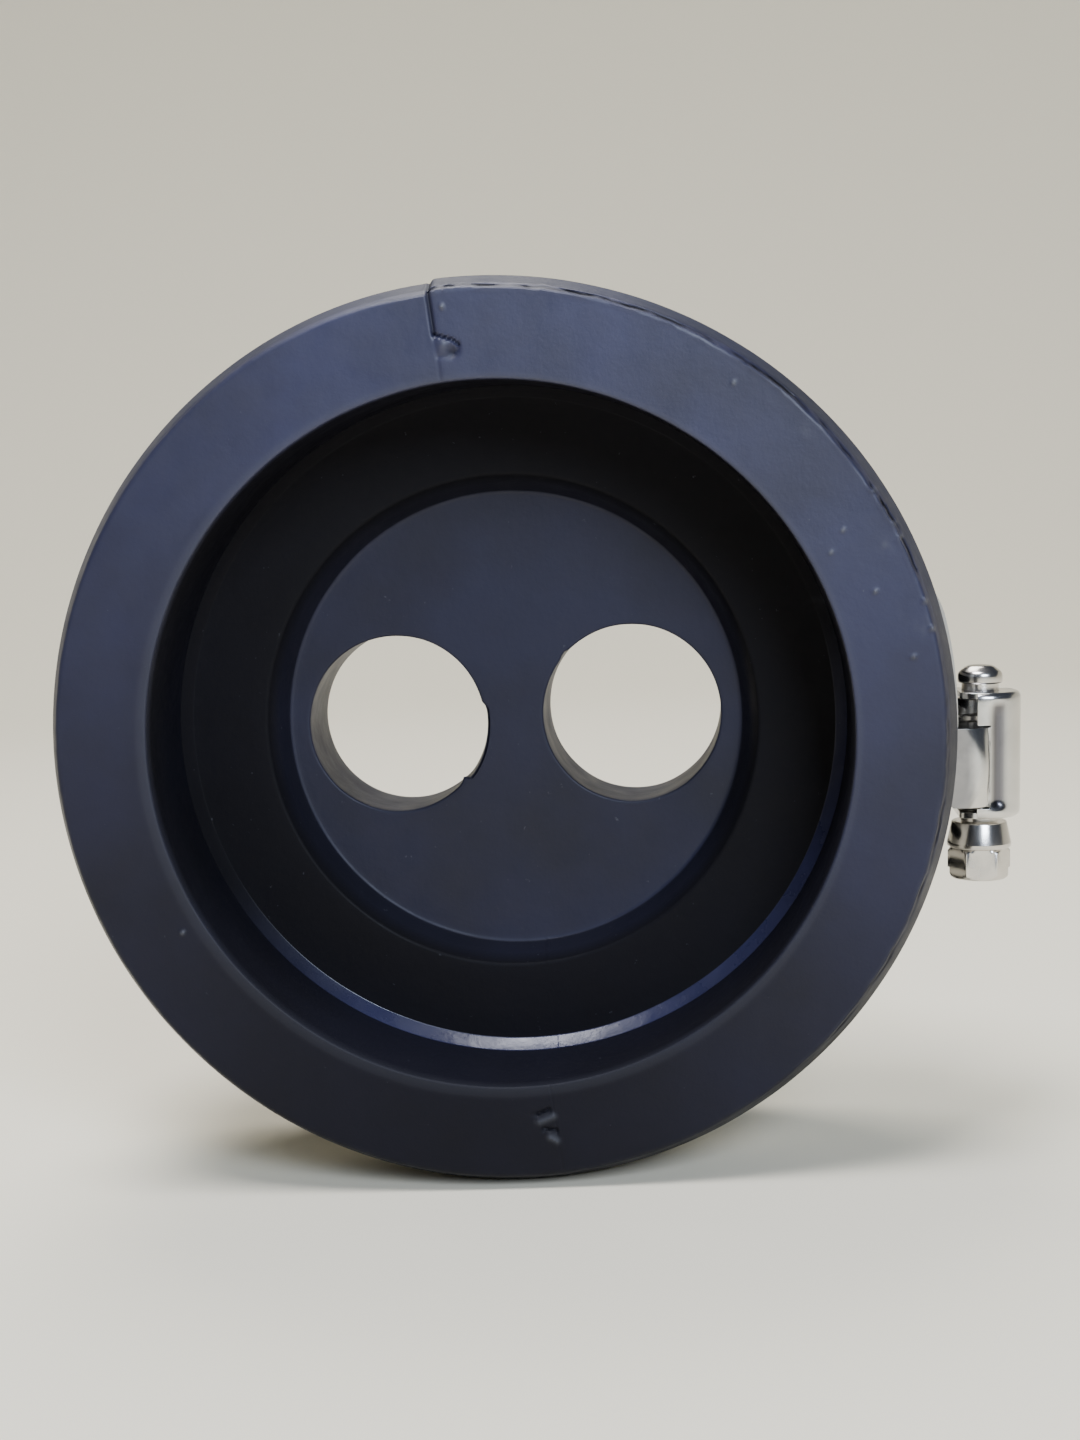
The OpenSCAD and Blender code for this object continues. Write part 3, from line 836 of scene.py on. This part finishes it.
def arch_point(y, turn_deg):
    """(outward, across) of the arch's outer face, from the screw's axis."""
    from_end = min(y - tip_y, head_y - y)
    roll = 0.0
    if from_end < end_round:
        roll = end_round - math.sqrt(max(0.0, end_round ** 2 - (end_round - from_end) ** 2))
    fade = min(1.0, max(0.0, (from_end - 1.2 * mm) / (1.4 * mm)))
    fade = fade * fade * (3 - 2 * fade)
    flute = flute_depth * fade * math.exp(-((turn_deg - 70) / 9.5) ** 2)
    r = arch_r - roll - flute
    return r * math.cos(math.radians(turn_deg)), r * math.sin(math.radians(turn_deg))


shoulder_mm = [(0.86, 5.62), (0.72, 6.05), (0.48, 6.5), (0.12, 6.88), (-0.34, 7.14), (-0.85, 7.29),
               (-1.35, 7.35)]
arch_turns = [0, 7, 14, 21, 28, 35, 42, 48, 53, 57, 61, 65, 69, 73, 77, 81]
under_turns = (86, 91, 96, 100)
slit_w = 0.3 * mm               # between the legs and the ends, where the sheet is cut
end_shares = (0, 0.03, 0.12, 0.28, 0.5, 0.75, 1.0)
stations = sorted([tip_y + end_round * share for share in end_shares]
                  + [head_y - end_round * share for share in end_shares]
                  + [leg_from_y - slit_w, leg_to_y + slit_w]
                  + list(np.linspace(tip_y + 1.4 * mm, leg_from_y - 0.8 * mm, 5))
                  + list(np.linspace(leg_to_y + 0.6 * mm, head_y - 1.1 * mm, 2))
                  + list(np.linspace(leg_from_y, leg_to_y, 25)))
sheet = bmesh.new()
for side in (-1, 1):
    arch_rows, low_rows, leg_rows = [], [], []
    for y in stations:
        def vert(point, up_y=y):
            return sheet.verts.new(clamp_place((screw_r + point[0], up_y, side * point[1])))
        arch_rows.append([vert(arch_point(y, t)) for t in arch_turns])
        low_rows.append([arch_rows[-1][-1]] + [vert(arch_point(y, t)) for t in under_turns])
        from_middle = (y - (leg_from_y + leg_to_y) / 2) / (leg_to_y - leg_from_y) * 2
        sag = -shoulder_bow_mm * from_middle * from_middle
        leg = []
        for k, (out_mm, side_mm) in enumerate(shoulder_mm):
            leg.append(vert(((out_mm + sag * min(1, (k + 1) / 4)) * mm, side_mm * mm)))
        start = (shoulder_mm[-1][0] + sag) * mm
        low = leg_foot + foot_corner * max(0.0, 1 - (leg_to_y - y) / foot_corner)
        leg += [vert((start + (low - start) * k / 4, clamp_half_w)) for k in (1, 2, 3, 4)]
        leg_rows.append([arch_rows[-1][-1]] + leg)
    for i, y in enumerate(stations[:-1]):
        inside = leg_from_y - 1e-9 <= y and stations[i + 1] <= leg_to_y + 1e-9
        slit = not inside and leg_from_y - slit_w - 0.01 * mm <= y <= leg_to_y + slit_w - 0.01 * mm
        bands = [arch_rows] + ([leg_rows] if inside else [] if slit else [low_rows])
        for rows in bands:
            here, beyond = rows[i], rows[i + 1]
            for k in range(len(here) - 1):
                sheet.faces.new((here[k], beyond[k], beyond[k + 1], here[k + 1]) if side > 0
                                else (here[k], here[k + 1], beyond[k + 1], beyond[k]))
bmesh.ops.delete(sheet, geom=[v for v in sheet.verts if not v.link_faces], context="VERTS")
bmesh.ops.remove_doubles(sheet, verts=sheet.verts, dist=0.001 * mm)
sheet.normal_update()
crown = max(sheet.faces, key=lambda face: face.calc_center_median().dot(outward))
if crown.normal.dot(outward) < 0:
    bmesh.ops.reverse_faces(sheet, faces=sheet.faces)
sheet_mesh = finished_mesh(sheet, "housing_sheet", housing_steel, turn_out=False)
housing_sheet = link_object("housing_sheet", sheet_mesh)
wall = housing_sheet.modifiers.new("wall", "SOLIDIFY")
wall.thickness = sheet_t
wall.offset = -1
wall.use_even_offset = True
wall.thickness_clamp = 1.0
made = applied(housing_sheet)

# Painted dark reflection: darker in the flutes, and less dark on the legs
sheet_co = np.array([v.co for v in made.vertices]) - np.array(clamp_middle)
sheet_co = sheet_co @ np.array([outward, along, across]).T
sheet_out, sheet_side = (sheet_co[:, 0] - screw_r) / mm, np.abs(sheet_co[:, 2]) / mm
sheet_turn = np.degrees(np.arctan2(sheet_side, sheet_out))
from_ends = np.minimum(sheet_co[:, 1] - tip_y, head_y - sheet_co[:, 1]) / mm
in_flute = np.exp(-((sheet_turn - 68) / 11) ** 4) * eased(from_ends, 0.9, 2.0) * (sheet_side < 5.75)
on_leg = 0.66 * eased(sheet_side, 7.1, 7.3) * eased(-sheet_out, 1.0, 2.2)
film = made.attributes.new("film", "FLOAT", "POINT")
film.data.foreach_set("value", np.clip(0.95 * in_flute + on_leg, 0, 1).astype(np.float32))
add_piece("housing_sheet", made, "clamp", "screw_housing", smooth_deg=42, bevel=0.1 * mm)


def wall_plate(shape, from_y):
    """End wall: a disc inside the arch, cut off flat above the strap, round the journal."""
    hole_r, plate_r, flat = 2.78 * mm, 5.35 * mm, -3.3 * mm
    sides = 72
    loops = []
    for y in (from_y, from_y + wall_t - wall_inset):
        inner, outer = [], []
        for i in range(sides):
            a = 2 * math.pi * i / sides
            reach = plate_r if math.cos(a) * plate_r > flat else flat / math.cos(a)
            for ring, r in ((inner, hole_r), (outer, reach)):
                ring.append(shape.verts.new(clamp_place((screw_r + r * math.cos(a), y, r * math.sin(a)))))
        loops.append((inner, outer))
    (in_a, out_a), (in_b, out_b) = loops
    for i in range(sides):
        j = (i + 1) % sides
        shape.faces.new((in_a[i], out_a[i], out_a[j], in_a[j]))
        shape.faces.new((in_b[i], in_b[j], out_b[j], out_b[i]))
        shape.faces.new((out_a[i], out_b[i], out_b[j], out_a[j]))
        shape.faces.new((in_a[i], in_a[j], in_b[j], in_b[i]))


walls = bmesh.new()
wall_plate(walls, tip_y + wall_inset)
wall_plate(walls, head_y - wall_t)
walls_mesh = finished_mesh(walls, "housing_end_walls", housing_steel)
add_piece("housing_end_walls", walls_mesh, "clamp", "screw_housing", bevel=plate_bevel)

# ----------------------------------------------------------------------
# Worm screw. One stainless piece: a domed tip, a right-hand thread whose flanks run in
# the strap's slots, a flared collar and a slotted hex head.
screw_steel = steel("screw_steel", (0.70, 0.67, 0.63), 0.18, scratch=0.15, smudge=0.2)
core_r, journal_r, tip_r = 3.45 * mm, 2.7 * mm, 3.25 * mm
thread_from_y, thread_to_y = -3.3 * mm, 13.0 * mm
collar_y, hex_y, screw_end_y = 15.0 * mm, 18.9 * mm, 23.6 * mm
hex_half = 3.97 * mm

# Thread: a straight bar whose x is the angle, y the radius and z the place along the
# screw, wound into a helix by the node tree
winding, feed, result = node_tree("worm_thread", Lead="NodeSocketFloat", Finish="NodeSocketMaterial")
position = add_node(winding, "GeometryNodeInputPosition")
parts = add_node(winding, "ShaderNodeSeparateXYZ")
cosine = add_node(winding, "ShaderNodeMath", operation="COSINE")
sine = add_node(winding, "ShaderNodeMath", operation="SINE")
out_part = add_node(winding, "ShaderNodeMath", operation="MULTIPLY")
side_part = add_node(winding, "ShaderNodeMath", operation="MULTIPLY")
share = add_node(winding, "ShaderNodeMath", operation="DIVIDE")
share.inputs[1].default_value = 2 * math.pi
climb = add_node(winding, "ShaderNodeMath", operation="MULTIPLY_ADD")
wound = add_node(winding, "ShaderNodeCombineXYZ")
placed = add_node(winding, "GeometryNodeSetPosition")
whole = add_node(winding, "GeometryNodeRealizeInstances")
coat = add_node(winding, "GeometryNodeSetMaterial")
wire(winding, (position.outputs["Position"], parts.inputs["Vector"]), (parts.outputs["X"], cosine.inputs[0]),
     (parts.outputs["X"], sine.inputs[0]), (parts.outputs["Y"], out_part.inputs[0]),
     (cosine.outputs["Value"], out_part.inputs[1]), (parts.outputs["Y"], side_part.inputs[0]),
     (sine.outputs["Value"], side_part.inputs[1]), (parts.outputs["X"], share.inputs[0]),
     (share.outputs["Value"], climb.inputs[0]), (feed.outputs["Lead"], climb.inputs[1]),
     (parts.outputs["Z"], climb.inputs[2]), (out_part.outputs["Value"], wound.inputs["X"]),
     (side_part.outputs["Value"], wound.inputs["Y"]), (climb.outputs["Value"], wound.inputs["Z"]),
     (feed.outputs["Geometry"], placed.inputs["Geometry"]),
     (wound.outputs["Vector"], placed.inputs["Position"]),
     (placed.outputs["Geometry"], whole.inputs["Geometry"]),
     (whole.outputs["Geometry"], coat.inputs["Geometry"]),
     (feed.outputs["Finish"], coat.inputs["Material"]), (coat.outputs["Geometry"], result.inputs["Geometry"]))

bar = bmesh.new()
thread_steps = 48               # rings in a turn
fade_steps = 12                 # rings over which each end of the thread dies away
half_root, half_crest = 0.78 * mm, 0.35 * mm
first = math.ceil((thread_from_y + half_root) / worm_lead * thread_steps)
last = math.floor((thread_to_y - half_root) / worm_lead * thread_steps)
rings = []
for i in range(first, last + 1):
    fade = min(1, (i - first) / fade_steps, (last - i) / fade_steps)
    faded_r = core_r - 0.12 * mm
    top = faded_r + (worm_r - faded_r) * math.sin(math.pi / 2 * fade)
    low = core_r - 0.3 * mm
    rings.append([bar.verts.new((2 * math.pi * i / thread_steps, r, z)) for r, z in [
        (low, -half_root), (top - 0.14 * mm, -half_crest - 0.03 * mm), (top, -half_crest + 0.1 * mm),
        (top, half_crest - 0.1 * mm), (top - 0.14 * mm, half_crest + 0.03 * mm), (low, half_root)]])
tube(bar, rings)
bar_mesh = finished_mesh(bar, "thread_bar", turn_out=False)
wound_mesh = run_nodes(winding, bar_mesh, {"Lead": worm_lead, "Finish": screw_steel})
thread_co = np.array([v.co for v in wound_mesh.vertices])
wound_mesh.vertices.foreach_set("co", clamp_place(np.stack(
    [screw_r - thread_co[:, 0], thread_co[:, 2], thread_co[:, 1]], axis=-1)).ravel())
thread_shape = bmesh.new()
thread_shape.from_mesh(wound_mesh)
bmesh.ops.recalc_face_normals(thread_shape, faces=thread_shape.faces)
thread_shape.to_mesh(wound_mesh)
thread_shape.free()
add_piece("worm_thread", wound_mesh, "screw", "worm_screw", smooth_deg=38)


def lathe(shape, outline, sides, radius_at=None):
    """Adds a closed solid turned round the screw's axis from (radius, place along it) pairs."""
    rings = []
    for r, y in outline:
        ring = []
        for i in range(sides):
            a = 2 * math.pi * i / sides
            here = min(r, radius_at(a)) if radius_at else r
            ring.append(shape.verts.new(clamp_place((screw_r + here * math.cos(a), y, -here * math.sin(a)))))
        rings.append(ring)
    tube(shape, rings)


shank = bmesh.new()
lathe(shank, rounded_outline([
    (0.2 * mm, -8.2 * mm, 0), (1.9 * mm, -8.05 * mm, 1.6 * mm), (tip_r, -7.0 * mm, 1.0 * mm),
    (tip_r, -5.5 * mm, 0.25 * mm), (journal_r, -5.5 * mm, 0.1 * mm), (journal_r, thread_from_y, 0.1 * mm),
    (core_r, thread_from_y, 0.2 * mm), (core_r, thread_to_y, 0.2 * mm), (journal_r, thread_to_y, 0.1 * mm),
    (journal_r, collar_y, 0.1 * mm), (4.0 * mm, collar_y, 0.3 * mm), (4.7 * mm, hex_y - 0.7 * mm, 0.5 * mm),
    (4.62 * mm, hex_y, 0.35 * mm), (3.6 * mm, hex_y + 0.05 * mm, 0)]), sides=96)
add_piece("worm_shank", finished_mesh(shank, "worm_shank", screw_steel), "screw", "worm_screw")


def hex_radius(turn):
    """Distance to the hexagon's side, with a flat facing across the strap."""
    from_flat = (math.degrees(turn) - 90 + 30) % 60 - 30
    return hex_half / math.cos(math.radians(from_flat))


head = bmesh.new()
lathe(head, [
    (3.7 * mm, hex_y - 0.05 * mm), (4.1 * mm, hex_y + 0.05 * mm), (4.35 * mm, hex_y + 0.35 * mm),
    (4.7 * mm, hex_y + 0.6 * mm), (4.7 * mm, screw_end_y - 0.95 * mm),
    (4.45 * mm, screw_end_y - 0.6 * mm), (4.2 * mm, screw_end_y - 0.3 * mm),
    (3.95 * mm, screw_end_y - 0.12 * mm), (3.5 * mm, screw_end_y)], sides=144, radius_at=hex_radius)
blank_head = link_object("hex_blank", finished_mesh(head, "hex_head", screw_steel))

slot = bmesh.new()
slot_half, slot_deep = 0.6 * mm, 1.6 * mm
corners = [clamp_place((screw_r + x, y, z)) for x in (-6 * mm, 6 * mm)
           for y in (screw_end_y - slot_deep, screw_end_y + 1 * mm) for z in (-slot_half, slot_half)]
bmesh.ops.convex_hull(slot, input=[slot.verts.new(corner) for corner in corners])
slot_tool = link_object("driver_slot", finished_mesh(slot, "driver_slot"))
milled = blank_head.modifiers.new("milled", "BOOLEAN")
milled.operation = "DIFFERENCE"
milled.solver = "EXACT"
milled.object = slot_tool
made = applied(blank_head)
bpy.data.objects.remove(slot_tool)
add_piece("hex_head", made, "screw", "worm_screw", smooth_deg=22)
